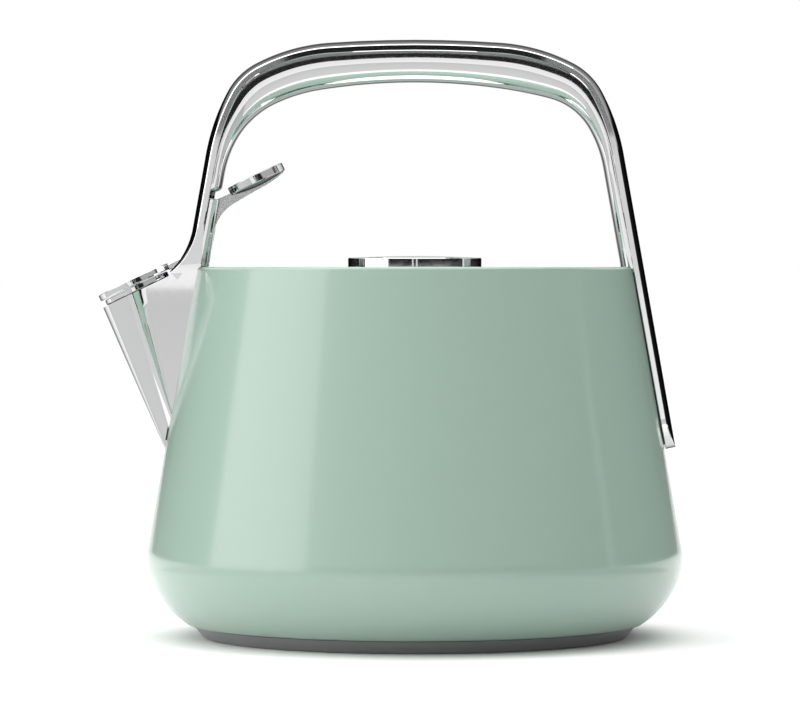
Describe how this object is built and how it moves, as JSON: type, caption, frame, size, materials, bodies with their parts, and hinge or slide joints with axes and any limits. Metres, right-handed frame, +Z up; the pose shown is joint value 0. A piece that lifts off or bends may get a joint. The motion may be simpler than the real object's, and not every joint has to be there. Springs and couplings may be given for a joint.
{
  "type": "stovetop whistling kettle",
  "caption": "Cone-sided stovetop kettle with a fixed arched handle, lift-off lid with disc knob, and a thumb lever that lifts the whistle cap off its spout.",
  "frame": {"origin": "centre of the base's resting face", "axes": "+Z up, spout towards -X, so the handle's plane is XZ"},
  "size_m": [0.2175, 0.1996, 0.2218],
  "materials": {
    "mint_enamel": "smooth gloss ceramic-type coating over steel",
    "plain_steel": "plain satin stainless steel",
    "aluminium_disc": "cast aluminium",
    "brushed_steel": "circularly brushed dark grey steel",
    "polished_chrome": "mirror polished",
    "satin_steel": "fine satin",
    "fastener_steel": "machined stainless steel",
    "dark_silicone": "matte silicone rubber",
    "pale_silicone": "matte silicone rubber",
    "brass_reed": "rolled sheet"
  },
  "bodies": {
    "kettle": {"body_shell": "mint_enamel", "bottom_pan": "plain_steel", "heat_disc": "aluminium_disc", "base_cap": "brushed_steel", "handle_arch": "polished_chrome", "grip_belly": "polished_chrome", "grip_screw": "fastener_steel", "spout_neck": "polished_chrome", "lever_guide": "polished_chrome", "neck_gasket": "dark_silicone", "neck_screws": "fastener_steel", "neck_washers": "dark_silicone", "tongue_gasket": "dark_silicone", "tongue_screws": "fastener_steel", "tongue_washers": "dark_silicone", "pivot_pin": "fastener_steel", "lever_spring": "fastener_steel"},
    "lever": {"lever_arm": "satin_steel", "thumb_pad": "polished_chrome", "whistle_cap": "polished_chrome", "whistle_plate": "polished_chrome", "whistle_cup": "plain_steel", "whistle_reed": "brass_reed", "whistle_seal": "dark_silicone", "whistle_nut": "fastener_steel"},
    "lid": {"lid_plate": "mint_enamel", "lid_skirt": "plain_steel", "lid_gasket": "pale_silicone", "knob_spacer": "plain_steel", "lid_knob": "polished_chrome", "knob_screw": "fastener_steel", "knob_washer": "fastener_steel"}
  },
  "joints": [
    {"name": "lever_press", "type": "hinge", "parent": "kettle", "child": "lever", "pos_m": [-0.0786, 0, 0.14], "axis": [0, 1, 0], "range_deg": [0, 22], "stiffness_Nm_per_rad": 0.08, "springref_deg": -34.38},
    {"name": "lid_lift", "type": "slide", "parent": "kettle", "child": "lid", "axis": [0, 0, 1], "range_m": [0, 0.026]}
  ]
}
